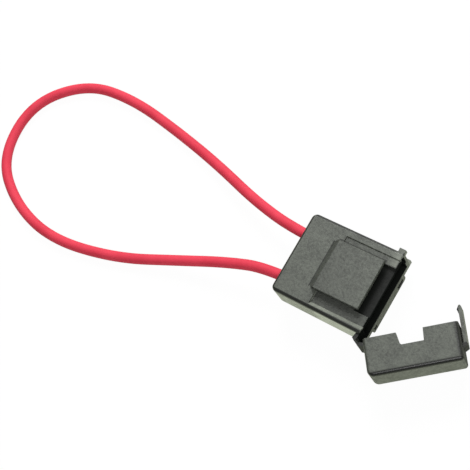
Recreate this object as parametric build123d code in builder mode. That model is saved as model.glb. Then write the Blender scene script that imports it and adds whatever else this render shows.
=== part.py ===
"""Inline blade fuse holder with its cap open on a moulded strap and one wire looped into both ports.

Millimetres. X runs along the housing, from the wire end to the open end. Y runs across it, from the hinge
side to the latch side. Z is up, and the guides on the back of the housing stand on Z = 0.
"""

import os
from math import cos, pi, radians, sin, tan

from build123d import *

os.makedirs("parts", exist_ok=True)

# Housing box
body_length = 30.2
body_width = 26.0
body_height = 9.5
side_flare = 0.35
guide_height = 3.2
corner_radius = 1.7
edge_radius = 0.9
back_edge_radius = 0.6

# Blade fuse that the holder takes
fuse_width = 19.1
blade_pitch = 9.5
blade_thickness = 0.65

# Fuse cavity
cavity_height = 5.6
back_wall = 1.5
side_wall = 1.5
mouth_depth = 3.0
pocket_depth = 3.2
pocket_clearance = 0.5
port_wall = 1.8
latch_relief_wall = 0.8
latch_relief_depth = 1.5

# Recess with a slope on the hinge side and a steep wall on the latch side
recess_length = 17.6
recess_depth = 0.8
hinge_margin = 0.1
hinge_slope = 0.95
latch_rail = 2.4
latch_slope = 0.2
latch_step = 0.35
channel_depth = 0.7
channel_width = 15.9
channel_length = 5.0

# Ganging pad on its stem
pad_overlap = 0.7
pad_width = 15.9
pad_rise = 1.8
pad_plate = 1.3
pad_end_gap = 3.3
pad_ramp = 1.9
pad_corner_along = 1.6
pad_corner_across = 0.85
pad_offset_y = 0.33
pad_edge_bevel = 0.15
stem_inset = 3.4

# Guide block on the back, with a socket in its open end for the next holder's pad
guide_wire_gap = 5.7
guide_set_back = 0.3
guide_width = 18.6
guide_radius = 0.9
latch_socket_width = 3.0
latch_socket_y = 7.0
latch_socket_height = 2.4
hinge_socket_width = 1.4
hinge_socket_y = 7.5
hinge_socket_height = 1.7
socket_depth = 5.0

# Catch lugs beside the latch arm
lug_length = 2.0
lug_proud = 1.05
lug_height = 1.8
lug_drop = 0.2
low_lug_proud = 0.85
catch_proud = 0.4
catch_front = 0.9
catch_ramp = 0.7

# Cap
cap_hinge_overhang = 0.7
cap_latch_overhang = 0.2
cap_depth = 11.1
cap_wall = 1.4
cap_hinge_corner_radius = 1.9
cap_latch_corner_radius = 1.0
cap_edge_radius = 0.95
cap_gap = 0.3
notch_width = 7.4
notch_taper = 0.4
notch_depth = 3.7
notch_corner = 0.5
notch_lead_width = 1.3
notch_lead_depth = 1.0

# Latch arm
arm_thickness = 0.95
arm_height = 4.3
arm_stand_off = 0.4
arm_reach = 5.4
arm_root_start = 5.6
arm_root_end = 6.9
arm_clearance = 0.3
barb_depth = 0.4
barb_apex = 4.2
barb_back = 3.1

# Hinge: a wing on the housing, a knuckle on the cap and a thin strap between them
hinge_past_end = 0.33
hinge_off_side = 2.3
open_angle = 52.5
wing_length = 1.2
wing_height = 7.6
wing_back = 0.35
wing_shoulder = 0.65
wing_groove = 0.2
knuckle_length = 1.2
strap_thickness = 0.6
strap_half_length = 0.75

# Terminals
sheet = 0.45
contact_width = 6.4
contact_lip = 2.3
contact_clearance = 0.25
contact_bay_clearance = 0.35
terminal_end_gap = 3.6
contact_share = 0.4
neck_share = 0.115
conductor_crimp_share = 0.205
crimp_gap_share = 0.105
crimp_mouth = 1.1
crimp_clearance = 0.05
barrel_floor = 0.65
bay_divider = 1.2

# Wire
wire_diameter = 3.3
conductor_diameter = 1.9
port_pitch = 13.7
port_clearance = 0.15

# Positions that follow from the sizes above
end_x = body_length / 2
side_y = body_width / 2
body_bottom = guide_height
body_top = guide_height + body_height
cavity_floor = body_bottom + back_wall
cavity_mid = cavity_floor + cavity_height / 2
mouth_width = body_width - 2 * side_wall
pocket_width = fuse_width + 2 * pocket_clearance
pocket_x = end_x - mouth_depth - pocket_depth
recess_x = end_x - recess_length
recess_floor = body_top - recess_depth
slope_y = -side_y + edge_radius + hinge_margin
recess_high_y = side_y - latch_rail
pad_x1 = end_x - pad_end_gap
pad_x0 = recess_x - pad_overlap
pad_foot_x = pad_x0 - pad_ramp
pad_top = body_top + pad_rise
guide_x1 = end_x - guide_set_back
guide_x0 = -end_x + guide_wire_gap
port_y = port_pitch / 2
blade_y = blade_pitch / 2
contact_floor = cavity_mid - blade_thickness / 2 - contact_clearance / 2
shelf_z = contact_floor - sheet
contact_x1 = pocket_x - contact_clearance
terminal_length = contact_x1 + end_x - port_wall - terminal_end_gap
contact_length = contact_share * terminal_length
conductor_crimp_length = conductor_crimp_share * terminal_length
contact_x0 = contact_x1 - contact_length
bay_x0 = -end_x + port_wall
bay_y0 = bay_divider / 2 + 0.4
bay_y1 = port_y + wire_diameter / 2 + sheet + crimp_clearance + 0.5
crimp_x1 = contact_x0 - neck_share * terminal_length
crimp_x0 = crimp_x1 - conductor_crimp_length
grip_x1 = crimp_x0 - crimp_gap_share * terminal_length
grip_x0 = contact_x1 - terminal_length
insulation_x = grip_x1 + 0.3
conductor_x = crimp_x1 + 0.2
arm_low = body_bottom + (body_height - arm_height) / 2
cap_width = body_width + cap_hinge_overhang + cap_latch_overhang
cap_height = body_height
hinge_x = end_x + hinge_past_end
hinge_y = -side_y - hinge_off_side
wing_low = body_bottom + (body_height - wing_height) / 2
wing_x1 = hinge_x - strap_half_length
wing_x0 = end_x - wing_length
wing_y = hinge_y - strap_thickness / 2

# Housing
with BuildPart() as housing:
    with BuildSketch(Plane.XY.offset(body_bottom)) as outline:
        with BuildLine():
            Polyline(
                (-end_x, -side_y),
                (end_x, -side_y - side_flare),
                (end_x, side_y),
                (-end_x, side_y),
                close=True,
            )
        make_face()
        fillet(outline.vertices().group_by(Axis.X)[0], corner_radius)
    extrude(amount=body_height)
    top_rim = housing.edges().group_by(Axis.Z)[-1].sort_by(Axis.X)[:-1]
    fillet(top_rim, edge_radius)
    back_rim = housing.edges().group_by(Axis.Z)[0].sort_by(Axis.X)[:-1]
    fillet(back_rim, back_edge_radius)
    # Recess, open towards the cap
    with BuildSketch(Plane.YZ.offset(recess_x)):
        with BuildLine():
            Polyline(
                (slope_y, body_top),
                (slope_y + hinge_slope, recess_floor),
                (recess_high_y - latch_slope, body_top - latch_step),
                (recess_high_y, body_top),
                (recess_high_y, body_top + 1),
                (slope_y, body_top + 1),
                close=True,
            )
        make_face()
    extrude(amount=recess_length + 1, mode=Mode.SUBTRACT)
    # Lower channel in front of the pad
    with BuildSketch(Plane.XY.offset(recess_floor - channel_depth)):
        with Locations((end_x - channel_length, 0.05)):
            Rectangle(channel_length + 1, channel_width, align=(Align.MIN, Align.CENTER))
    extrude(amount=channel_depth + 0.5, mode=Mode.SUBTRACT)
    # Pad: its outline with two cut corners, the ramp, then the gap under its plate
    with BuildSketch(Plane.XY.offset(body_top - 0.2)):
        with BuildLine():
            Polyline(
                (pad_foot_x, pad_offset_y - pad_width / 2 + pad_corner_across),
                (pad_foot_x + pad_corner_along, pad_offset_y - pad_width / 2),
                (pad_x1, pad_offset_y - pad_width / 2),
                (pad_x1, pad_offset_y + pad_width / 2),
                (pad_foot_x + pad_corner_along, pad_offset_y + pad_width / 2),
                (pad_foot_x, pad_offset_y + pad_width / 2 - pad_corner_across),
                close=True,
            )
        make_face()
    extrude(amount=pad_rise + 0.2)
    with BuildSketch(Plane.XZ.offset(-pad_offset_y)):
        with BuildLine():
            Polyline(
                (pad_foot_x, body_top),
                (pad_x0, pad_top),
                (pad_x0, pad_top + 1),
                (pad_foot_x - 1, pad_top + 1),
                (pad_foot_x - 1, body_top),
                close=True,
            )
        make_face()
    extrude(amount=pad_width, both=True, mode=Mode.SUBTRACT)
    with BuildSketch(Plane.XZ.offset(-pad_offset_y)):
        with Locations((recess_x, pad_top - pad_plate)):
            Rectangle(
                pad_x1 + 1 - recess_x,
                pad_rise - pad_plate + 0.3,
                align=(Align.MIN, Align.MAX),
            )
    extrude(amount=pad_width / 2 + 0.1, both=True, mode=Mode.SUBTRACT)
    chamfer(housing.faces().filter_by(Axis.Z).sort_by(Axis.Z)[-1].edges(), pad_edge_bevel)
    # Stem under the pad's plate
    with BuildSketch(Plane.XY.offset(recess_floor - channel_depth - 0.2)):
        with Locations((recess_x - 0.5, pad_offset_y)):
            Rectangle(
                pad_x1 - stem_inset - recess_x + 0.5,
                pad_width - 2 * stem_inset,
                align=(Align.MIN, Align.CENTER),
            )
    extrude(amount=recess_depth + channel_depth + 0.2 + pad_rise - pad_plate / 2)
    # Catch lugs and the low catch between them, on the latch side
    with BuildSketch(Plane.XZ.offset(-side_y + 0.4)):
        with Locations((end_x, body_top - lug_drop)):
            Rectangle(lug_length, lug_height, align=(Align.MAX, Align.MAX))
    extrude(amount=-(lug_proud + 0.4))
    with BuildSketch(Plane.XZ.offset(-side_y + 0.4)):
        with Locations((end_x, body_bottom)):
            Rectangle(lug_length, lug_height, align=(Align.MAX, Align.MIN))
    extrude(amount=-(low_lug_proud + 0.4))
    with BuildSketch(Plane.XY.offset(arm_low - arm_clearance)):
        with BuildLine():
            Polyline(
                (end_x - catch_front, side_y - 0.4),
                (end_x - catch_front, side_y),
                (end_x - catch_front - catch_ramp, side_y + catch_proud),
                (end_x - lug_length, side_y + catch_proud),
                (end_x - lug_length, side_y - 0.4),
                close=True,
            )
        make_face()
    extrude(amount=arm_height + 2 * arm_clearance)
    # Guide block on the back
    with BuildSketch(Plane.YZ.offset(guide_x0)) as guide_end:
        with Locations((pad_offset_y, 0)):
            Rectangle(guide_width, guide_height + 0.2, align=(Align.CENTER, Align.MIN))
        fillet(guide_end.vertices().group_by(Axis.Y)[0], guide_radius)
    extrude(amount=guide_x1 - guide_x0)
    # Two blind sockets in the guide block's open end
    for socket_y, width, height, radius in (
        (latch_socket_y, latch_socket_width, latch_socket_height, 1.0),
        (-hinge_socket_y, hinge_socket_width, hinge_socket_height, 0.3),
    ):
        with BuildSketch(Plane.YZ.offset(guide_x1 - socket_depth)):
            with Locations((socket_y, guide_height / 2 + 0.15)):
                RectangleRounded(width, height, radius)
        extrude(amount=socket_depth + 1, mode=Mode.SUBTRACT)
    # Hinge wing: a hooked back edge, then a groove across its sloping outer face
    with BuildSketch(Plane.XY.offset(wing_low)):
        with BuildLine():
            shoulder = Vector(wing_x0 - wing_back, wing_y + wing_shoulder, 0)
            slope = Vector(wing_x1 - 0.15, wing_y, 0) - shoulder
            dent = Vector(-slope.Y, slope.X, 0).normalized() * wing_groove
            Polyline(
                (wing_x0, -side_y + 0.4),
                (wing_x0, -side_y - side_flare),
                shoulder,
                shoulder + slope * 0.35,
                shoulder + slope * 0.5 + dent,
                shoulder + slope * 0.65,
                shoulder + slope,
                (wing_x1, wing_y),
                (wing_x1, wing_y + strap_thickness),
                (end_x - 0.1, wing_y + strap_thickness + 0.9),
                (end_x, -side_y - side_flare),
                (end_x, -side_y + 0.4),
                close=True,
            )
        make_face()
    extrude(amount=wing_height)
    # Fuse cavity: a wide mouth, then a pocket that fits the fuse
    with BuildSketch(Plane.YZ.offset(end_x - mouth_depth)):
        with Locations((0, cavity_mid)):
            Rectangle(mouth_width, cavity_height)
    extrude(amount=mouth_depth + 1, mode=Mode.SUBTRACT)
    with BuildSketch(Plane.YZ.offset(end_x - latch_relief_depth)):
        with Locations((mouth_width / 2 - 0.5, cavity_mid)):
            Rectangle(
                side_wall + 0.5 - latch_relief_wall,
                body_top - 1.0 - cavity_mid,
                align=(Align.MIN, Align.MIN),
            )
    extrude(amount=latch_relief_depth + 1, mode=Mode.SUBTRACT)
    with BuildSketch(Plane.YZ.offset(pocket_x)):
        with Locations((0, cavity_mid)):
            Rectangle(pocket_width, cavity_height)
    extrude(amount=pocket_depth + 1, mode=Mode.SUBTRACT)
    # Contact bays with a shelf under each terminal, then the deeper crimp bays
    with BuildSketch(Plane.YZ.offset(contact_x0 - contact_bay_clearance)):
        with Locations((-blade_y, shelf_z), (blade_y, shelf_z)):
            Rectangle(
                contact_width + 2 * contact_bay_clearance,
                cavity_floor + cavity_height - shelf_z,
                align=(Align.CENTER, Align.MIN),
            )
    extrude(amount=pocket_x + 1 - contact_x0, mode=Mode.SUBTRACT)
    with BuildSketch(Plane.YZ.offset(bay_x0)):
        with Locations((-(bay_y0 + bay_y1) / 2, cavity_mid), ((bay_y0 + bay_y1) / 2, cavity_mid)):
            Rectangle(bay_y1 - bay_y0, cavity_height)
    extrude(amount=contact_x0 - contact_bay_clearance - bay_x0 + 0.01, mode=Mode.SUBTRACT)
    # Wire ports
    with BuildSketch(Plane.YZ.offset(-end_x - 1)):
        with Locations((-port_y, cavity_mid), (port_y, cavity_mid)):
            Circle(wire_diameter / 2 + port_clearance)
    extrude(amount=port_wall + 2, mode=Mode.SUBTRACT)
housing.part.label = "housing"
export_step(housing.part, "parts/housing.step")

# The cap's corner next to the hinge, closed and then as it stands open
turn = radians(open_angle)
closed_dx = end_x + cap_gap - hinge_x
closed_dy = -side_y - cap_hinge_overhang - hinge_y
cap_corner_x = hinge_x + closed_dx * cos(turn) + closed_dy * sin(turn)
cap_corner_y = hinge_y - closed_dx * sin(turn) + closed_dy * cos(turn)
# The knuckle's end face, in the cap's own directions
knuckle_front = hinge_past_end - cap_gap + strap_half_length
knuckle_reach = hinge_off_side - cap_hinge_overhang + strap_thickness / 2
# Local X runs along the cap's width away from the hinge, local -Y from its skirt to its crown
cap_base = Plane(
    origin=(cap_corner_x, cap_corner_y, body_bottom),
    x_dir=(sin(turn), cos(turn), 0),
    z_dir=(0, 0, 1),
)

# Cap
with BuildPart() as cap:
    with BuildSketch(cap_base) as cap_outline:
        Rectangle(cap_width, cap_depth, align=(Align.MIN, Align.MAX))
        crown_corners = cap_outline.vertices().group_by(Axis.Y)[0].sort_by(Axis.X)
        fillet(crown_corners[0], cap_hinge_corner_radius)
        fillet(cap_outline.vertices().group_by(Axis.Y)[0].sort_by(Axis.X)[-1], cap_latch_corner_radius)
    extrude(amount=cap_height)
    crown_way = Axis((cap_corner_x, cap_corner_y, 0), (cos(turn), -sin(turn), 0))
    fillet(cap.edges().group_by(Axis.Z)[-1].sort_by(crown_way)[1:], cap_edge_radius)
    fillet(cap.edges().group_by(Axis.Z)[0].sort_by(crown_way)[1:], cap_edge_radius)
    with BuildSketch(cap_base.offset(cap_wall)):
        with Locations((cap_wall, 1)):
            Rectangle(
                cap_width - 2 * cap_wall,
                cap_depth - cap_wall + 1,
                align=(Align.MIN, Align.MAX),
            )
    extrude(amount=cap_height - 2 * cap_wall, mode=Mode.SUBTRACT)
    # Notch in the skirt, through the upper and the lower wall
    with BuildSketch(cap_base.offset(-1)):
        with BuildLine():
            Polyline(
                (cap_width / 2 - notch_width / 2 - notch_taper / 2, 1),
                (cap_width / 2 - notch_width / 2 - notch_taper / 2, 0),
                (cap_width / 2 - notch_width / 2 + notch_taper, -notch_depth + notch_corner),
                (cap_width / 2 - notch_width / 2 + notch_taper + notch_corner, -notch_depth),
                (cap_width / 2 + notch_width / 2 - notch_taper / 2, -notch_depth),
                (cap_width / 2 + notch_width / 2, 0),
                (cap_width / 2 + notch_width / 2, 1),
                close=True,
            )
        make_face()
    extrude(amount=cap_height + 2, mode=Mode.SUBTRACT)
    # Wider lead-in to the notch of the lower wall, on the hinge side
    with BuildSketch(cap_base.offset(-1)):
        with Locations((cap_width / 2 - notch_width / 2 + notch_taper, 1)):
            Rectangle(
                notch_lead_width,
                1 + notch_lead_depth,
                align=(Align.MAX, Align.MAX),
            )
    extrude(amount=cap_wall + 2, mode=Mode.SUBTRACT)
    # Boss that carries the latch arm
    with BuildSketch(cap_base.offset(arm_low - body_bottom)):
        with BuildLine():
            Polyline(
                (cap_width - 0.5, -arm_root_start),
                (cap_width + arm_stand_off + arm_thickness, -arm_root_start),
                (cap_width + arm_stand_off + arm_thickness, -arm_root_end + 0.5),
                (cap_width + arm_stand_off, -arm_root_end),
                (cap_width - 0.5, -arm_root_end - 0.4),
                close=True,
            )
        make_face()
    extrude(amount=arm_height)
    # Knuckle beside the skirt, which the strap holds
    with BuildSketch(cap_base.offset(wing_low - body_bottom)):
        with BuildLine():
            Polyline(
                (0.4, -knuckle_front - 0.1),
                (-knuckle_reach + strap_thickness + 0.1, -knuckle_front + 0.3),
                (-knuckle_reach + strap_thickness, -knuckle_front),
                (-knuckle_reach, -knuckle_front),
                (-knuckle_reach, -knuckle_front - 0.2),
                (0.4, -knuckle_front - knuckle_length),
                close=True,
            )
        make_face()
    extrude(amount=wing_height)
cap.part.label = "cap"
export_step(cap.part, "parts/cap.step")

# Latch arm: it flexes over the catch, so it is a piece of its own that starts at the boss
arm_inner = cap_width + arm_stand_off
arm_outer = arm_inner + arm_thickness
with BuildPart() as latch_arm:
    with BuildSketch(cap_base.offset(arm_low - body_bottom)):
        with BuildLine():
            Polyline(
                (arm_inner, -arm_root_start),
                (arm_inner, barb_back),
                (arm_inner - barb_depth, barb_apex),
                (arm_inner - barb_depth + 0.25, barb_apex + 0.45),
                (arm_inner + 0.25, arm_reach),
                (arm_outer - 0.3, arm_reach),
                (arm_outer, arm_reach - 0.5),
                (arm_outer, -arm_root_start),
                close=True,
            )
        make_face()
    extrude(amount=arm_height)
latch_arm.part.label = "latch_arm"
export_step(latch_arm.part, "parts/latch_arm.step")

# Strap through the hinge axis, from the wing's end face to the knuckle's
strap_away = cap_base.from_local_coords(
    Vector(-knuckle_reach + strap_thickness / 2, -knuckle_front, 0)
)
with BuildPart() as hinge_strap:
    with BuildLine() as strap_line:
        Spline(
            (wing_x1, hinge_y, wing_low),
            (strap_away.X, strap_away.Y, wing_low),
            tangents=((1, 0, 0), (cos(turn), -sin(turn), 0)),
        )
    with BuildSketch(Plane(origin=strap_line.line @ 0, x_dir=(0, 1, 0), z_dir=(1, 0, 0))):
        Rectangle(strap_thickness, wing_height, align=(Align.CENTER, Align.MIN))
    sweep()
hinge_strap.part.label = "hinge_strap"
export_step(hinge_strap.part, "parts/hinge_strap.step")

# Terminals: a curled blade contact, an offset neck and two crimp barrels
barrel_z = cavity_mid
for name, side in (("terminal_latch_side", 1), ("terminal_hinge_side", -1)):
    with BuildPart() as terminal:
        with BuildSketch(Plane.YZ.offset(contact_x0)):
            with Locations((side * blade_y, contact_floor - sheet)):
                Rectangle(contact_width, sheet, align=(Align.CENTER, Align.MIN))
            lip_z = contact_floor + blade_thickness + contact_clearance
            wall_height = lip_z + sheet - shelf_z
            for edge in (-1, 1):
                wall_y = side * blade_y + edge * (contact_width - sheet) / 2
                lip_y = side * blade_y + edge * (contact_width - contact_lip) / 2
                with Locations((wall_y, shelf_z)):
                    Rectangle(sheet, wall_height, align=(Align.CENTER, Align.MIN))
                with Locations((lip_y, lip_z)):
                    Rectangle(contact_lip, sheet, align=(Align.CENTER, Align.MIN))
        extrude(amount=contact_length)
        with BuildSketch(Plane.XY.offset(shelf_z)):
            with BuildLine():
                Polyline(
                    (contact_x0 + 0.5, side * (blade_y - 1.6)),
                    (contact_x0 + 0.5, side * (blade_y + 2.6)),
                    (crimp_x1 - 0.3, side * (port_y + 1.2)),
                    (crimp_x1 - 0.3, side * (port_y - 1.2)),
                    close=True,
                )
            make_face()
        extrude(amount=sheet)
        # Floor that joins the two barrels from below
        with BuildSketch(Plane.XY.offset(barrel_z - wire_diameter / 2 - sheet + 0.1)):
            with Locations((grip_x0, side * port_y)):
                Rectangle(crimp_x1 - grip_x0, 2.0, align=(Align.MIN, Align.CENTER))
        extrude(amount=barrel_floor)
        for start, length, bore in (
            (crimp_x0, conductor_crimp_length, conductor_diameter),
            (grip_x0, grip_x1 - grip_x0, wire_diameter),
        ):
            with BuildSketch(Plane.YZ.offset(start)):
                with Locations((side * port_y, barrel_z)):
                    Circle(bore / 2 + crimp_clearance + sheet)
                with Locations((side * port_y, barrel_z + bore)):
                    Rectangle(crimp_mouth, 2 * bore, mode=Mode.SUBTRACT)
            extrude(amount=length)
        for start, length, bore in (
            (grip_x0 - 0.1, insulation_x + 0.1 - grip_x0, wire_diameter),
            (crimp_x0 - 0.1, conductor_crimp_length + 0.4, conductor_diameter),
        ):
            with BuildSketch(Plane.YZ.offset(start)):
                with Locations((side * port_y, barrel_z)):
                    Circle(bore / 2 + crimp_clearance)
            extrude(amount=length, mode=Mode.SUBTRACT)
    terminal.part.label = name
    export_step(terminal.part, f"parts/{name}.step")

# Bare conductor ends in the crimps
for name, side in (("conductor_latch_side", 1), ("conductor_hinge_side", -1)):
    with BuildPart() as conductor:
        with BuildSketch(Plane.YZ.offset(insulation_x)):
            with Locations((side * port_y, cavity_mid)):
                Circle(conductor_diameter / 2)
        extrude(amount=conductor_x - insulation_x)
    conductor.part.label = name
    export_step(conductor.part, f"parts/{name}.step")

# Wire: out of one port, down to the surface, round the loop and back into the other port
rest_z = wire_diameter / 2
wire_route = [
    (insulation_x, port_y, cavity_mid),
    (-end_x - 4.4, port_y, cavity_mid),
    (-36.0, 10.0, 6.0),
    (-54.5, 16.0, 2.9),
    (-72.5, 20.5, rest_z),
    (-94.0, 24.5, rest_z),
    (-112.5, 23.0, rest_z),
    (-127.0, 9.0, rest_z),
    (-125.5, -11.5, rest_z),
    (-111.5, -23.0, rest_z),
    (-93.0, -28.0, rest_z),
    (-69.5, -24.0, rest_z),
    (-49.5, -16.0, 3.2),
    (-34.0, -10.5, 6.3),
    (-end_x - 5.9, -port_y, cavity_mid),
    (insulation_x, -port_y, cavity_mid),
]
spots = [Vector(*p) for p in wire_route]
bends = []
for before, at, after in zip(spots, spots[1:], spots[2:]):
    turned = radians((at - before).get_angle(after - at))
    shorter = min((at - before).length, (after - at).length)
    bends.append(round(0.45 * shorter / tan(turned / 2), 2))
print("wire bend radii", bends)
with BuildPart() as wire_loop:
    with BuildLine() as wire_line:
        FilletPolyline(*wire_route, radius=bends)
    with BuildSketch(Plane(origin=wire_line.line @ 0, z_dir=wire_line.line % 0)):
        Circle(wire_diameter / 2)
    sweep()
wire_length = sum(edge.length for edge in wire_line.edges())
print("wire length", round(wire_length, 1))
section_volume = pi * wire_diameter**2 / 4 * wire_length
print("wire volume", round(wire_loop.part.volume, 1), "from its section", round(section_volume, 1))
wire_loop.part.label = "wire_loop"
export_step(wire_loop.part, "parts/wire_loop.step")
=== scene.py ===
# %% [markdown]
# # An inline blade fuse holder
#
# The real object is a flat black moulded box that takes a blade fuse, with its cap hanging open on a
# moulded strap and one red wire looped into its two ports. The imported CAD model gives every solid its
# place. This script adds what the eye sees: the camera, a smooth wire, a ribbed strap, the moulded skins,
# and the table and light.

import math

import bmesh
import bpy
import numpy as np
from mathutils import Matrix, Vector


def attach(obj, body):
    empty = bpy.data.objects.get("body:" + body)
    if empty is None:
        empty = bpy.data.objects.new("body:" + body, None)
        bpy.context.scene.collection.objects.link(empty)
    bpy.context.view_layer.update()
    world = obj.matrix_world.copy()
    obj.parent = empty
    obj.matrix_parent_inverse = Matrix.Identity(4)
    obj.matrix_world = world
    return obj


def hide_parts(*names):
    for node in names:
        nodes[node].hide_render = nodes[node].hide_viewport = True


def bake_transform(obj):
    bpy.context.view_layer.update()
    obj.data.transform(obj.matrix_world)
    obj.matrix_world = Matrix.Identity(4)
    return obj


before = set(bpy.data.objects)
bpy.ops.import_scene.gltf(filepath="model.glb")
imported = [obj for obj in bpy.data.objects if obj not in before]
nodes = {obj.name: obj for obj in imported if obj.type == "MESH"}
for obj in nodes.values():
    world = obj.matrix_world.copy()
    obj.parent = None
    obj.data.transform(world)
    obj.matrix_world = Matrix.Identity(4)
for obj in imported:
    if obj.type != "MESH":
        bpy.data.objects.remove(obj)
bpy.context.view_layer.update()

# %% [markdown]
# ## The camera
#
# A photograph of a box holds enough straight edges to work back to the lens and the place it was taken
# from. Here the camera stands about 0.42 m away, above the open end, with a long lens, so the box's
# sides converge only slightly. A camera's own axes are the columns of its matrix: right, up and back.

# %% Place the camera
camera_data = bpy.data.cameras.new("photo_camera")
camera_data.sensor_width = 36.0
camera_data.lens = 110.95
camera_data.clip_start = 0.01
camera = bpy.data.objects.new("photo_camera", camera_data)
bpy.context.scene.collection.objects.link(camera)
camera_place = Vector((0.14807, -0.08117, 0.38916))
right = Vector((0.81479, 0.50288, -0.28848))
up = Vector((-0.39263, 0.84475, 0.36364))
back = Vector((0.42656, -0.18302, 0.88575))
turn = Matrix((right, up, back)).transposed().to_4x4()
camera.matrix_world = Matrix.Translation(camera_place) @ turn
bpy.context.scene.camera = camera
print("camera stands", round(camera_place.length, 3), "m from the origin")

# %% [markdown]
# ## The way of the wire
#
# The loop is stranded copper in a PVC sleeve. It leaves one port straight, sags to the table within a
# few centimetres, swings round and comes back into the other port. On the table its middle lies half a
# diameter up. A NURBS spline of order 3 passes smoothly near each control point, which is how a stiff
# wire lies. The spacing of points along it could be worked out by hand, but a curve that is turned into a
# mesh already has them, so they are read back from there.

# %% Read the path of the wire
WIRE_DIAMETER = 0.0033
REST = WIRE_DIAMETER / 2
wire_points = [
    (-0.00619, 0.00685, 0.0075),
    (-0.0195, 0.00685, 0.0075),
    (-0.0360, 0.0100, 0.0060),
    (-0.0545, 0.0160, 0.0029),
    (-0.0725, 0.0205, REST),
    (-0.0940, 0.0245, REST),
    (-0.1125, 0.0230, REST),
    (-0.1270, 0.0090, REST),
    (-0.1255, -0.0115, REST),
    (-0.1115, -0.0230, REST),
    (-0.0930, -0.0280, REST),
    (-0.0695, -0.0240, REST),
    (-0.0495, -0.0160, 0.0032),
    (-0.0340, -0.0105, 0.0063),
    (-0.0210, -0.00685, 0.0075),
    (-0.00619, -0.00685, 0.0075),
]
wire_curve = bpy.data.curves.new("red_wire", "CURVE")
wire_curve.dimensions = "3D"
wire_spline = wire_curve.splines.new("NURBS")
wire_spline.points.add(len(wire_points) - 1)
for point, place in zip(wire_spline.points, wire_points):
    point.co = (*place, 1.0)
wire_spline.order_u = 3
wire_spline.use_endpoint_u = True
wire_spline.resolution_u = 10
wire_route = bpy.data.objects.new("wire_route", wire_curve)
route_mesh = bpy.data.meshes.new_from_object(wire_route)
wire_path = np.zeros((len(route_mesh.vertices), 3))
route_mesh.vertices.foreach_get("co", wire_path.ravel())
bpy.data.meshes.remove(route_mesh)
bpy.data.objects.remove(wire_route)
wire_steps = np.linalg.norm(np.diff(wire_path, axis=0), axis=1)
print("wire points", len(wire_points), "on the path", len(wire_path), "length m", round(wire_steps.sum(), 4))

# %% [markdown]
# ## From a path to a closed tube
#
# A sleeve is the same circle everywhere, carried along a path. A ring of points is set round each point
# of the path, at right angles to the way ahead. The wire never stands upright, so a level side direction
# always exists and keeps the rings from twisting. Neighbouring rings are joined by quads and a fan of
# triangles closes each end, so the tube is one closed skin, as a printed or moulded piece would be.

# %% Skin a path with rings
WIRE_RING = 24


def round_tube(path, radius, ring):
    """Ring points c + r (cos(a) side + sin(a) over) round each path point c, then both end points."""
    ahead = np.gradient(path, axis=0)
    ahead /= np.linalg.norm(ahead, axis=1)[:, None]
    side = np.cross([0.0, 0.0, 1.0], ahead)
    side /= np.linalg.norm(side, axis=1)[:, None]
    over = np.cross(ahead, side)
    angle = np.linspace(0.0, 2 * np.pi, ring, endpoint=False)[None, :, None]
    spokes = np.cos(angle) * side[:, None, :] + np.sin(angle) * over[:, None, :]
    grid = path[:, None, :] + radius * spokes
    return np.concatenate([grid.reshape(-1, 3), path[[0, -1]]])


def tube_faces(rows, ring):
    """Quads between neighbouring rings, and a fan on the middle point of each end."""
    i, j = np.meshgrid(np.arange(rows - 1), np.arange(ring), indexing="ij")
    k = (j + 1) % ring
    quads = np.stack([i * ring + j, i * ring + k, (i + 1) * ring + k, (i + 1) * ring + j], axis=-1)
    here = np.arange(ring)
    following = (here + 1) % ring
    first_middle, last_middle = rows * ring, rows * ring + 1
    last_row = (rows - 1) * ring
    first_fan = np.stack([np.full(ring, first_middle), following, here], axis=1)
    last_fan = np.stack([np.full(ring, last_middle), last_row + here, last_row + following], axis=1)
    return quads.reshape(-1, 4).tolist() + first_fan.tolist() + last_fan.tolist()


def closed_tube(name, points, rows, ring):
    """A smooth mesh object from a tube's points, with every face turned outward."""
    mesh = bpy.data.meshes.new(name)
    mesh.from_pydata(points.tolist(), [], tube_faces(rows, ring))
    checked = bmesh.new()
    checked.from_mesh(mesh)
    bmesh.ops.recalc_face_normals(checked, faces=checked.faces)
    checked.to_mesh(mesh)
    checked.free()
    mesh.polygons.foreach_set("use_smooth", [True] * len(mesh.polygons))
    made = bpy.data.objects.new(name, mesh)
    bpy.context.scene.collection.objects.link(made)
    return made


wire_skin = round_tube(wire_path, WIRE_DIAMETER / 2, WIRE_RING)
red_wire = closed_tube("red_wire", wire_skin, len(wire_path), WIRE_RING)
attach(red_wire, "housing")
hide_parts("wire_loop")
print("wire faces", len(red_wire.data.polygons))

# %% [markdown]
# ## The hinge strap
#
# Housing, strap and cap come out of one mould. The strap is the only part that bends: a band nearly as
# tall as the box is thick, thinned across its middle so that it folds there, with fine ribs where the
# mould's inserts met. A box with a bend modifier would have no ribs and no thin middle, so a ribbon with
# a rounded section is swept along a curve that leaves the housing's wing straight and turns by the cap's
# angle. It belongs to neither body.

# %% Sweep the hinge strap
CAP_OPEN = math.radians(52.5)
STRAP_START = np.array([0.01468, -0.01530])
STRAP_END = np.array([0.015887, -0.015895])
STRAP_MIDDLE, STRAP_HALF_HEIGHT = 0.00795, 0.0038
STRAP_THICKNESS, STRAP_OVERLAP = 0.00060, 0.00012
STRAP_ROWS, STRAP_RING = 49, 32
FOLD_THINNING, RIBS, RIB_HEIGHT = 0.35, 7, 1 / 9
FLAT_SIDES, FLAT_ENDS = 0.35, 0.12


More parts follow.
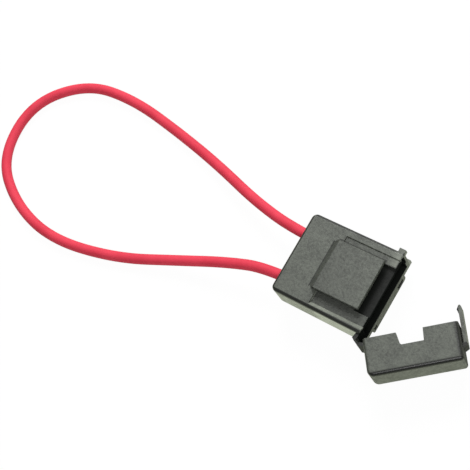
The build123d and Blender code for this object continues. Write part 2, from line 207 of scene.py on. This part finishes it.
def strap_path(s):
    """Cubic p(s) from wing to knuckle, with the directions at both ends given. It starts a little inside
    the wing and stops a little inside the knuckle."""
    leave = np.array([1.0, 0.0])
    arrive = np.array([math.cos(CAP_OPEN), -math.sin(CAP_OPEN)])
    first, last = STRAP_START - STRAP_OVERLAP * leave, STRAP_END + STRAP_OVERLAP * arrive
    reach = np.linalg.norm(last - first)
    return (
        (2 * s**3 - 3 * s**2 + 1) * first
        + (s**3 - 2 * s**2 + s) * reach * leave
        + (3 * s**2 - 2 * s**3) * last
        + (s**3 - s**2) * reach * arrive
    )


def squared(wave, power):
    """sign(w) |w|^power, which pushes a circle's cosine and sine towards those of a box."""
    return np.sign(wave) * np.abs(wave) ** power


def strap_ribbon():
    """Each row is a superellipse ring round p(s). Its half thickness is t / 2 (1 - fold sin^2(pi s) +
    rib cos(2 pi n s) sin(pi s)), thinnest halfway, and its height stays the same."""
    s = np.linspace(0.0, 1.0, STRAP_ROWS)[:, None]
    path = strap_path(s)
    ahead = np.gradient(path, axis=0)
    ahead /= np.linalg.norm(ahead, axis=1)[:, None]
    aside = np.stack([-ahead[:, 1], ahead[:, 0]], axis=1)
    fold = np.sin(np.pi * s)
    ribs = RIB_HEIGHT * np.cos(2 * np.pi * RIBS * s) * fold
    half = STRAP_THICKNESS / 2 * (1 - FOLD_THINNING * fold**2 + ribs)
    angle = np.linspace(0.0, 2 * np.pi, STRAP_RING, endpoint=False)[None, :]
    out, rise = squared(np.cos(angle), FLAT_SIDES), squared(np.sin(angle), FLAT_ENDS)
    grid = np.zeros((STRAP_ROWS, STRAP_RING, 3))
    grid[..., :2] = path[:, None, :] + (half * out)[..., None] * aside[:, None, :]
    grid[..., 2] = STRAP_MIDDLE + STRAP_HALF_HEIGHT * rise
    ends = np.array([[*path[0], STRAP_MIDDLE], [*path[-1], STRAP_MIDDLE]])
    return np.concatenate([grid.reshape(-1, 3), ends])


strap_band = closed_tube("hinge_strap_band", strap_ribbon(), STRAP_ROWS, STRAP_RING)
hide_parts("hinge_strap")
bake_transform(strap_band)
strap_reach = np.linalg.norm(STRAP_END - STRAP_START)
print("strap faces", len(strap_band.data.polygons), "reach mm", round(1000 * strap_reach, 2))

# %% [markdown]
# ## A small language for finishes
#
# A shader is a graph of nodes, and long graphs are hard to read as node calls. The two classes below let
# a finish be written as ordinary arithmetic: a `Signal` is one output socket, and every operator on it
# adds a Math node. Everything else comes from `Finish.node`, which sets a node's options first and then
# fills or links its sockets.

# %% Wrap sockets so that maths reads as maths
# The colour of a matt shader that paints shade into hollows.
SHADE_DIFFUSE_BLACK = (0.008, 0.009, 0.008, 1.0)


class Signal:
    """One output socket of a finish. Arithmetic on it adds Math nodes."""

    def __init__(self, finish, socket):
        self.finish = finish
        self.socket = socket

    def math(self, operation, first, second):
        return self.finish.node("ShaderNodeMath", {"operation": operation}, {0: first, 1: second})

    def __add__(self, other):
        return self.math("ADD", self, other)

    def __sub__(self, other):
        return self.math("SUBTRACT", self, other)

    def __rsub__(self, other):
        return self.math("SUBTRACT", other, self)

    def __mul__(self, other):
        return self.math("MULTIPLY", self, other)

    __radd__ = __add__
    __rmul__ = __mul__

    def at_least(self, other):
        return self.math("MAXIMUM", self, other)

    def at_most(self, other):
        return self.math("MINIMUM", self, other)

    def step(self, low, high):
        """0 below low and 1 above high, with a smooth ramp between them."""
        return self.finish.node(
            "ShaderNodeMapRange",
            {"interpolation_type": "SMOOTHSTEP"},
            {"Value": self, "From Min": low, "From Max": high},
        )


class Finish:
    """A material that is built from expressions and ends in one surface."""

    def __init__(self, name):
        self.material = bpy.data.materials.new(name)
        self.material.use_nodes = True
        self.tree = self.material.node_tree
        self.tree.nodes.clear()

    def node(self, kind, settings=None, sockets=None, out=0):
        """Adds a node, makes its settings, and then gives each socket its value or its link."""
        made = self.tree.nodes.new(kind)
        for key, value in (settings or {}).items():
            setattr(made, key, value)
        for key, value in (sockets or {}).items():
            if isinstance(value, Signal):
                self.tree.links.new(value.socket, made.inputs[key])
            else:
                made.inputs[key].default_value = value
        return Signal(self, made.outputs[out]) if made.outputs else None

    def place(self):
        """Where a spot lies on its piece, which doesn't change when the piece swings."""
        return self.node("ShaderNodeTexCoord", out="Object")

    def noise(self, scale, detail, roughness, where=None):
        """Noise from 0 to 1; scale is the number of waves in a metre."""
        sockets = {"Scale": scale, "Detail": detail, "Roughness": roughness}
        return self.node("ShaderNodeTexNoise", None, {"Vector": where or self.place(), **sockets})

    def mix(self, factor, first, second):
        """A colour between first and second."""
        return self.node("ShaderNodeMix", {"data_type": "RGBA"}, {0: factor, 6: first, 7: second}, out=2)

    def bump(self, height, distance, strength):
        """Normals tilted as a height of at most distance, in metres, would tilt them."""
        sockets = {"Height": height, "Distance": distance, "Strength": strength}
        return self.node("ShaderNodeBump", None, sockets)

    def surface(self, unlit=None, **sockets):
        """Ends the tree. Keyword names stand for the shader's sockets, with _ for a space. Where unlit is
        1, a nearly black matt shader takes over, as painted shade."""
        named = {key.replace("_", " "): value for key, value in sockets.items()}
        shader = self.node("ShaderNodeBsdfPrincipled", None, named)
        if unlit is not None:
            shade_shader = self.node("ShaderNodeBsdfDiffuse", None, {"Color": SHADE_DIFFUSE_BLACK})
            shader = self.node("ShaderNodeMixShader", None, {0: unlit, 1: shader, 2: shade_shader})
        self.node("ShaderNodeOutputMaterial", None, {"Surface": shader})
        return self.material


def srgb(red, green, blue):
    """Display values from 0 to 255 as the linear colour that a shader takes."""
    values = np.array([red, green, blue]) / 255.0
    linear = np.where(values <= 0.04045, values / 12.92, ((values + 0.055) / 1.055) ** 2.4)
    return (*[float(v) for v in linear], 1.0)


print("display grey 128 is linear", round(srgb(128, 128, 128)[0], 3))

# %% [markdown]
# ## The moulded plastic
#
# The moulding is a tough plastic, such as nylon, with black pigment. A steel mould gives each face its own
# skin: the broad tops are spark-eroded to a fine matt grain, while the walls that slide along the mould as
# it opens come out drawn smooth, with faint streaks. Black plastic has little colour of its own,
# so this difference in gloss is most of what the eye sees: the matt tops glow in the lamp's light, the
# smooth walls mirror the pale table at a glancing angle, and the rounded rims mirror the dark room and are
# painted darker as shade besides.
#
# One material with a single roughness would miss that. Here masks say how smooth and how deep in shade a
# spot is, worked out from where it lies on its piece, so the pattern stays put when the cap swings. They
# are written in millimetres, the numbers of a drawing, and their soft borders hide that they are boxes.

# %% Measure places on a piece
UP = (0.0, 0.0, 1.0)
CAP_CORNER = (16.681, -14.302)
CAP_ACROSS = (math.sin(CAP_OPEN), math.cos(CAP_OPEN), 0.0)
CAP_INTO = (math.cos(CAP_OPEN), -math.sin(CAP_OPEN), 0.0)
SOFT_BORDER = 0.08


def along(finish, direction, origin=(0.0, 0.0)):
    """How many millimetres a spot of the piece lies from origin in a direction."""
    shift = finish.node(
        "ShaderNodeVectorMath",
        {"operation": "MULTIPLY_ADD"},
        {0: finish.place(), 1: (1000.0, 1000.0, 1000.0), 2: (-origin[0], -origin[1], 0.0)},
    )
    return finish.node("ShaderNodeVectorMath", {"operation": "DOT_PRODUCT"}, {0: shift, 1: direction}, out=1)


def above(value, edge, soft=SOFT_BORDER):
    """1 where value is over edge, with a soft border."""
    return value.step(edge - soft, edge + soft)


def below(value, edge, soft=SOFT_BORDER):
    """1 where value is under edge, with a soft border."""
    return 1 - above(value, edge, soft)


def zone(spot, **limits):
    """1 inside a box. Each keyword is one of the spot's measures, with its low and its high edge, and
    None leaves that side open."""
    sides = []
    for measure, (low, high) in limits.items():
        if low is not None:
            sides.append(above(spot[measure], low))
        if high is not None:
            sides.append(below(spot[measure], high))
    return math.prod(sides[1:], start=sides[0])


def either(*masks):
    """The largest of some masks."""
    largest = masks[0]
    for mask in masks[1:]:
        largest = largest.at_least(mask)
    return largest


def even(finish, value):
    """A mask that is the same all over a piece."""
    mask = finish.node("ShaderNodeValue")
    mask.socket.default_value = value
    return mask


print("the cap stands open by", round(math.degrees(CAP_OPEN), 1), "degrees")

# %% [markdown]
# ## Smooth faces and rims
#
# A face is named here by its place: beyond 13 mm to the side lies a side wall, at 15.1 mm along lies the
# open end, and so on. The hinge wall flares outward towards the open end by a third of a millimetre, so
# it has a measure of its own. It is also a little duller from the wire end to the recess. Rounded rims
# are drawn smooth as well, and mirror the dark room instead of the table; they are also painted darker as
# shade. The recess's floor is matt, and painted in shade.

# %% Find the faces and the rims
END, SIDE, BACK, TOP = 15.1, 13.0, 3.2, 12.7
SIDE_FLARE = 0.35
RECESS_START, SLOPE_END, LATCH_RAIL = -2.5, -11.05, 10.6
PAD_START, PAD_LEVEL, PAD_END, PAD_TOP = -5.1, -3.2, 11.8, 14.5
PAD_HINGE_EDGE, PAD_LATCH_EDGE = -7.62, 8.28


def housing_spot(finish):
    """A spot's measures. side is its distance from the middle towards the flared hinge wall."""
    return {
        "x": along(finish, (1, 0, 0)),
        "y": along(finish, (0, 1, 0)),
        "z": along(finish, UP),
        "side": along(finish, (-SIDE_FLARE / (2 * END), -1, 0), (-END, 0.0)),
    }


def drawn_walls(spot):
    """Both side walls and the wire end, up to where the rims start."""
    dull_stretch = (1 - spot["x"].step(-2.0, 1.5)) * spot["x"].step(0.6 - END, 2.6 - END)
    hinge_wall = zone(spot, side=(SIDE - 0.12, None)) * (1 - dull_stretch * 0.40)
    latch_wall = zone(spot, y=(SIDE - 0.12, None))
    wire_wall = zone(spot, x=(None, 0.18 - END))
    return either(hinge_wall, latch_wall, wire_wall) * zone(spot, z=(None, TOP - 0.6))


def recess_floor(spot):
    """The floor round the pad, half as strong past the pad's latch edge."""
    width = (SLOPE_END - 0.15, LATCH_RAIL + 0.1)
    floor = zone(spot, x=(RECESS_START + 0.05, None), y=width, z=(None, 12.45))
    return floor * (1 - zone(spot, y=(PAD_LATCH_EDGE + 0.02, None)) * 0.5)


def rounded_rims(spot):
    """The rim of the hinge side and the wire end in one mask, and the latch side's rim in another."""
    hinge_rim = zone(spot, side=(SIDE - 0.95, None), z=(11.25, None))
    wire_rim = zone(spot, x=(None, 0.75 - END), z=(TOP - 0.9, None))
    latch_rim = zone(spot, y=(SIDE - 0.78, None), z=(TOP - 0.9, None))
    return either(hinge_rim, wire_rim), latch_rim


print("the hinge wall flares by", SIDE_FLARE, "mm over", 2 * END, "mm")

# %% [markdown]
# ## Painted shade and painted light
#
# Some places are painted darker than their face, as shade. The cavity, its mouth and the channel between
# the pad and the open end are painted nearly black. A thin line of painted shade runs where the pad meets
# the top, another runs on the flank beside the pad's latch edge, and the pad's ramp and the wire end of its
# top are painted a little darker, as is the end of the guide block. Other places are painted lighter, as
# light: the sloped rail, the steps of the recess, the catch, and the end of the flank where the cap slides
# on.

# %% Find the hollows, the seams and the worn places
def mouth_of_cavity(spot):
    """The open end between its low strip and the top, painted nearly black as shade."""
    return zone(spot, x=(END - 0.25, None), y=(None, 11.7), z=(4.75, 12.35))


def inside_of_cavity(spot):
    """All walls within the housing, up to the floor of the recess, painted nearly black as shade."""
    inner = zone(spot, x=(0.2 - END, END - 0.1), y=(None, SIDE - 0.2), z=(BACK + 0.25, 11.10))
    return inner * zone(spot, side=(None, SIDE - 0.2))


def channel_shade(spot):
    """Painted shade on the channel's floor, a trace lighter towards the open end."""
    channel = zone(spot, x=(10.10, None), y=(-7.95, 8.05), z=(11.05, 11.50))
    return channel * (1 - spot["x"].step(11.2, 13.6) * 0.055)


def shade_lines(spot):
    """Painted shade: the line at the pad's foot, a line on the flank beside it, its ramp and the wire end
    of its top, and the end of the guide block.
    """
    foot_along = (PAD_START - 0.20, PAD_START + 0.18)
    foot_across = (PAD_HINGE_EDGE + 0.22, PAD_LATCH_EDGE - 0.38)
    foot = zone(spot, x=foot_along, y=foot_across, z=(None, TOP + 0.3))
    flank_line_across = (PAD_LATCH_EDGE + 0.12, PAD_LATCH_EDGE + 0.80)
    flank_shade_line = zone(spot, x=(-4.0, PAD_END), y=flank_line_across, z=(None, TOP + 0.2))
    ramp = zone(spot, x=(None, PAD_LEVEL + 0.05), z=(TOP + 0.08, None))
    pad_top_shade = zone(spot, z=(PAD_TOP - 0.2, None)) * (1 - spot["x"].step(-4.0, 10.0))
    guide_end = zone(spot, x=(END - 0.6, None), z=(None, BACK))
    return either(foot * 0.75, flank_shade_line * 0.7, ramp * 0.36, guide_end * 0.3, pad_top_shade * 0.26)


def painted_light_places(spot):
    """Places painted lighter, as painted light: the sloped rail, the steps of the recess, the catch and the
    end of the flank.
    """
    recess = (RECESS_START + 0.05, None)
    slope = zone(spot, x=recess, y=(SLOPE_END - 1.01, SLOPE_END - 0.03), z=(11.88, None))
    slope = slope * (1 - spot["x"].step(2.0, 10.0) * 0.3)
    rail_step = zone(spot, y=(LATCH_RAIL - 0.08, LATCH_RAIL + 0.30))
    front_step = zone(spot, x=(None, RECESS_START + 0.14), y=(SLOPE_END - 0.1, PAD_HINGE_EDGE + 0.02))
    steps = either(rail_step * 0.55, front_step)
    steps = steps * zone(spot, x=(RECESS_START - 0.14, None), z=(11.50, 12.62))
    catch = zone(spot, x=(10.0, None), y=(SIDE + 0.08, None))
    flank_end = spot["x"].step(10.5, 14.8) * zone(spot, x=(None, END - 0.25), y=(8.3, None), z=(11.60, None))
    return either(slope, steps, flank_end * 0.6, catch * 0.6)


print("the pad is", round(PAD_LATCH_EDGE - PAD_HINGE_EDGE, 2), "mm wide at its top")

# %% [markdown]
# ## The housing's three masks
#
# Each map gives three masks: how smooth a spot is, how much painted shade it has and how much painted
# light. Where several marks of one kind meet, the strongest wins, and painted light takes smoothness and
# painted shade away.

# %% Map the housing
def housing_map(finish):
    """The housing's masks of smoothness, painted shade and painted light."""
    spot = housing_spot(finish)
    mouth, painted_light = mouth_of_cavity(spot), painted_light_places(spot)
    wing = zone(spot, x=(END - 1.9, None), y=(None, -0.45 - SIDE))
    low_end = zone(spot, x=(END - 0.4, None), z=(None, 4.75))
    floor = recess_floor(spot)
    rim, latch_rim = rounded_rims(spot)
    smooth = either(drawn_walls(spot), low_end * 0.3, floor * 0.1, rim * 0.7) * (1 - latch_rim)
    # Painted shade: nearly black in the cavity, its mouth and the channel, dark on the rims and on the wing
    # beyond the hinge wall, and about half dark on the recess floor, less past the pad's latch edge.
    painted_hollow_shade = either(mouth, inside_of_cavity(spot), channel_shade(spot))
    rims = either(rim * 0.87, latch_rim * 0.8)
    shade = either(painted_hollow_shade, rims, wing * 0.9, floor * 0.48, shade_lines(spot))
    return smooth * (1 - either(mouth, wing, painted_light)), shade * (1 - painted_light), painted_light


print("the housing's top lies", round(TOP - BACK, 2), "mm over its back")

# %% [markdown]
# ## The cap, its arm and the strap
#
# The cap stands open, so its places are measured from its own corner: into it, towards its closed end or
# crown, and across it, from the hinge to the latch. The crown's rim and the knuckle at the strap are painted
# the darkest, as shade, and the crown's face, the rims and the latch side are painted in shade too. The
# arm's inner face is painted in shade, and its outer face a little. The strap is painted dark all over, as
# shade.

# %% Map the cap, the arm and the strap
CAP_DEPTH, CAP_WIDTH, CAP_TOP = 11.1, 26.9, 12.7


def cap_map(finish):
    """The cap's three masks: painted shade on its rims, crown, latch side and knuckle. It has no painted
    light.
    """
    into, across = along(finish, CAP_INTO, CAP_CORNER), along(finish, CAP_ACROSS, CAP_CORNER)
    z = along(finish, UP)
    spot = {"into": into, "across": across, "z": z}
    crown = zone(spot, into=(CAP_DEPTH - 0.05, None), z=(None, CAP_TOP - 0.8))
    crown_rim = above(into, CAP_DEPTH - 1.12, 0.30) * above(z, CAP_TOP - 1.25, 0.30)
    latch_rim = above(across, CAP_WIDTH - 1.18, 0.45) * above(z, CAP_TOP - 0.9)
    hinge_rim = zone(spot, across=(None, 0.60), z=(CAP_TOP - 0.9, None))
    latch_side = zone(spot, across=(CAP_WIDTH - 0.15, None))
    knuckle = zone(spot, across=(None, -0.10))
    glossy = either(crown * 0.55, crown_rim * 0.8, latch_rim * 0.6, hinge_rim * 0.5)
    rims = either(crown_rim * 0.92, crown * 0.42, latch_rim * 0.84, hinge_rim * 0.5)
    shade = either(rims, latch_side * 0.88, knuckle * 0.88)
    return glossy * (1 - either(latch_side, knuckle)), shade, even(finish, 0.0)


def arm_map(finish):
    """The latch arm's three masks: a slightly smooth outer face with a little painted shade, and an inner
    face in painted shade.
    """
    across = along(finish, CAP_ACROSS, CAP_CORNER)
    outer = above(across, CAP_WIDTH + 1.30)
    inner = below(across, CAP_WIDTH + 0.45)
    return outer * 0.25, either(inner, outer * 0.35), even(finish, 0.0)


def strap_map(finish):
    """The strap's three masks, the same all over: painted shade everywhere and no painted light."""
    return even(finish, 0.0), even(finish, 0.84), even(finish, 0.0)


print("the cap is", CAP_WIDTH, "mm wide and", CAP_DEPTH, "mm deep")

# %% [markdown]
# ## From masks to plastic
#
# The grain is three sizes of noise: single pits of the eroded mould, patches about a millimetre wide where
# pits run together, and broad clouds left by the flow of the melt. They vary colour and gloss together,
# because a pit both shadows itself and scatters light. Streaks are noise that is stretched tenfold along
# the housing. The bump is kept under a tenth of a millimetre.

# %% Make the moulded finishes
# The third grey is painted light; the near black is painted shade, and also colours the streaks on the
# smooth walls.
BLACK, GREY, LIT_GREY, SHADE_AND_STREAK_BLACK = srgb(48, 51, 45), srgb(80, 84, 76), srgb(114, 118, 108), srgb(9, 10, 8)
PIT_WAVES, PATCH_WAVES, CLOUD_WAVES, STREAK_WAVES = 3600.0, 1250.0, 240.0, 2400.0
STRETCHED_ALONG_X = (0.1, 1.0, 1.0)
GRAIN_DEPTH, GRAIN_STRENGTH = 0.00007, 0.7


def moulded_finish(name, face_map, matt=0.5, smooth=0.15):
    """A black moulded skin; matt and smooth are the roughness of its two kinds of face."""
    finish = Finish(name)
    pits = finish.noise(PIT_WAVES, 2.0, 0.6)
    patch = finish.noise(PATCH_WAVES, 3.0, 0.6)
    cloud = finish.noise(CLOUD_WAVES, 4.0, 0.65)
    long = finish.node("ShaderNodeMapping", None, {"Vector": finish.place(), "Scale": STRETCHED_ALONG_X})
    streak = finish.noise(STREAK_WAVES, 2.0, 0.5, long)
    smoothness, shade, painted_light_mask = face_map(finish)
    mottle = (pits * 0.3 + patch * 0.4 + cloud * 0.3).step(0.36, 0.64)
    colour = finish.mix(mottle, BLACK, GREY)
    # Painted light: a lighter grey where the map marks light.
    colour = finish.mix(painted_light_mask * (0.6 + mottle * 0.4), colour, LIT_GREY)
    dark_streaks = streak.step(0.56, 0.72) * smoothness * 0.3
    # Painted shade: towards near black where the map marks shade, and in the streaks.
    colour = finish.mix(either(shade, dark_streaks), colour, SHADE_AND_STREAK_BLACK)
    spread = (mottle - 0.5) * 0.16 + (streak - 0.5) * 0.22 * smoothness
    rough = matt + (smooth - matt) * smoothness + shade * (1 - smoothness) * 0.3 - spread
    height = (pits * 0.6 + patch * 0.8) * (1 - smoothness * 0.8) + streak * 0.3 * smoothness
    # Where the painted shade is deepest, the nearly black matt shader paints it.
    return finish.surface(
        unlit=shade.step(0.88, 1.0),
        Base_Color=colour,
        Roughness=rough,
        Normal=finish.bump(height, GRAIN_DEPTH, GRAIN_STRENGTH),
    )


housing_skin = moulded_finish("housing_moulding", housing_map)
cap_skin = moulded_finish("cap_moulding", cap_map)
arm_skin = moulded_finish("latch_arm_moulding", arm_map)
strap_skin = moulded_finish("strap_moulding", strap_map, matt=0.6)
print("moulded finishes", [m.name for m in bpy.data.materials])

# %% [markdown]
# ## Wire and metal
#
# The wire's PVC sleeve is soft and evenly coloured, with a broad sheen and a very slight waviness from the
# strands below. The terminals are tin-plated brass and the conductor ends bare copper. Both lie deep in
# the ports, so a plain metal with an uneven sheen is enough.

# %% Make the other finishes and hand them out
def wire_finish(name):
    """A soft red sleeve, with clouds about a centimetre long and a fine waviness."""
    finish = Finish(name)
    cloud = finish.noise(90.0, 3.0, 0.6)
    fine = finish.noise(1500.0, 2.0, 0.5)
    return finish.surface(
        Base_Color=finish.mix(cloud.step(0.35, 0.65), srgb(185, 45, 63), srgb(195, 53, 71)),
        Roughness=0.68 + (cloud - 0.5) * 0.2,
        Specular_IOR_Level=0.2,
        Normal=finish.bump(fine, 0.00003, 0.35),
    )


def metal_finish(name, dark, light, roughness):
    """A plain metal whose colour and sheen vary in clouds."""
    finish = Finish(name)
    cloud = finish.noise(400.0, 4.0, 0.6)
    return finish.surface(
        Base_Color=finish.mix(cloud, dark, light),
        Metallic=1.0,
        Roughness=roughness + (cloud - 0.5) * 0.2,
    )


insulation = wire_finish("red_insulation")
tin_plate = metal_finish("plated_terminal", srgb(176, 160, 120), srgb(206, 190, 150), 0.35)
copper = metal_finish("bare_copper", srgb(184, 110, 80), srgb(214, 140, 104), 0.4)
red_wire.data.materials.append(insulation)
strap_band.data.materials.append(strap_skin)
for name, skin in (
    ("housing", housing_skin),
    ("cap", cap_skin),
    ("latch_arm", arm_skin),
    ("terminal_latch_side", tin_plate),
    ("terminal_hinge_side", tin_plate),
    ("conductor_latch_side", copper),
    ("conductor_hinge_side", copper),
):
    nodes[name].data.materials.clear()
    nodes[name].data.materials.append(skin)
print("finishes", len(bpy.data.materials))

# %% [markdown]
# ## The table
#
# The photograph is a catalogue cut-out on white. A big pale table stands under the object. Rays that
# come straight from the camera, or by way of a glossy face, find it white, and the rest of its finish
# still takes the object's soft shadow. A wall that mirrors it shows it slightly green, as the
# photograph's smooth walls do.

# %% Set the table
TABLE_HALF, TABLE_TOP, TABLE_WHITE = 1.5, -0.0001, 0.965
PLAIN_WHITE, MIRRORED_WHITE = (1.0, 1.0, 1.0, 1.0), (0.93, 1.0, 0.78, 1.0)


def white_stage(name, share):
    """Emission 1 for camera and glossy rays by share, and plain diffuse for the rest."""
    finish = Finish(name)
    rays = finish.tree.nodes.new("ShaderNodeLightPath")
    seen = Signal(finish, rays.outputs["Is Camera Ray"])
    mirrored = Signal(finish, rays.outputs["Is Glossy Ray"])
    through = Signal(finish, rays.outputs["Is Transmission Ray"])
    diffuse = finish.node("ShaderNodeBsdfDiffuse", None, {"Color": (0.8, 0.8, 0.8, 1.0)})
    tint = finish.mix(mirrored, PLAIN_WHITE, MIRRORED_WHITE)
    glow = finish.node("ShaderNodeEmission", None, {"Color": tint, "Strength": 1.0})
    asked = (seen + mirrored + through).at_most(1.0)
    mixed = finish.node("ShaderNodeMixShader", None, {0: asked * share, 1: diffuse, 2: glow})
    finish.node("ShaderNodeOutputMaterial", None, {"Surface": mixed})
    return finish.material


corners = [(-1, -1), (1, -1), (1, 1), (-1, 1)]
table_points = [(TABLE_HALF * across, TABLE_HALF * ahead, TABLE_TOP) for across, ahead in corners]
table_mesh = bpy.data.meshes.new("table")
table_mesh.from_pydata(table_points, [], [(0, 1, 2, 3)])
table_mesh.materials.append(white_stage("white_table", TABLE_WHITE))
table = bpy.data.objects.new("table", table_mesh)
bpy.context.scene.collection.objects.link(table)
print("table side", 2 * TABLE_HALF, "m")

# %% [markdown]
# ## Light and background
#
# A white tent round a product gives soft light from everywhere. Here the world does that, and a large
# lamp behind the object makes the pad and the cap stand out, while a weaker one near the camera fills
# the shadows. The room lights the object less than the white that the camera sees would, so that the
# rounded rims have something dark to mirror.

# %% Set the room and the lamps
ROOM_LIGHT, ROOM_SEEN = 0.32, 1.0
LAMP_TARGET = Vector((0.0, 0.0, 0.008))
world = bpy.data.worlds.new("studio")
bpy.context.scene.world = world
world.use_nodes = True
sky = world.node_tree
sky.nodes.clear()
sky_out = sky.nodes.new("ShaderNodeOutputWorld")
sky_glow = sky.nodes.new("ShaderNodeBackground")
sky_path = sky.nodes.new("ShaderNodeLightPath")
sky_level = sky.nodes.new("ShaderNodeMapRange")
sky_level.inputs["To Min"].default_value = ROOM_LIGHT
sky_level.inputs["To Max"].default_value = ROOM_SEEN
sky.links.new(sky_path.outputs["Is Camera Ray"], sky_level.inputs["Value"])
sky.links.new(sky_level.outputs[0], sky_glow.inputs["Strength"])
sky.links.new(sky_glow.outputs[0], sky_out.inputs["Surface"])


def soft_lamp(name, place, size, power):
    """A square area lamp that looks at the middle of the housing."""
    data = bpy.data.lights.new(name, "AREA")
    data.size = size
    data.energy = power
    lamp = bpy.data.objects.new(name, data)
    lamp.location = place
    lamp.rotation_euler = (LAMP_TARGET - Vector(place)).to_track_quat("-Z", "Y").to_euler()
    bpy.context.scene.collection.objects.link(lamp)


soft_lamp("key_lamp", (-0.28, 0.60, 0.62), 0.45, 10.5)
soft_lamp("fill_lamp", (0.30, -0.20, 0.78), 0.5, 4.5)
bpy.context.scene.view_settings.view_transform = "Standard"
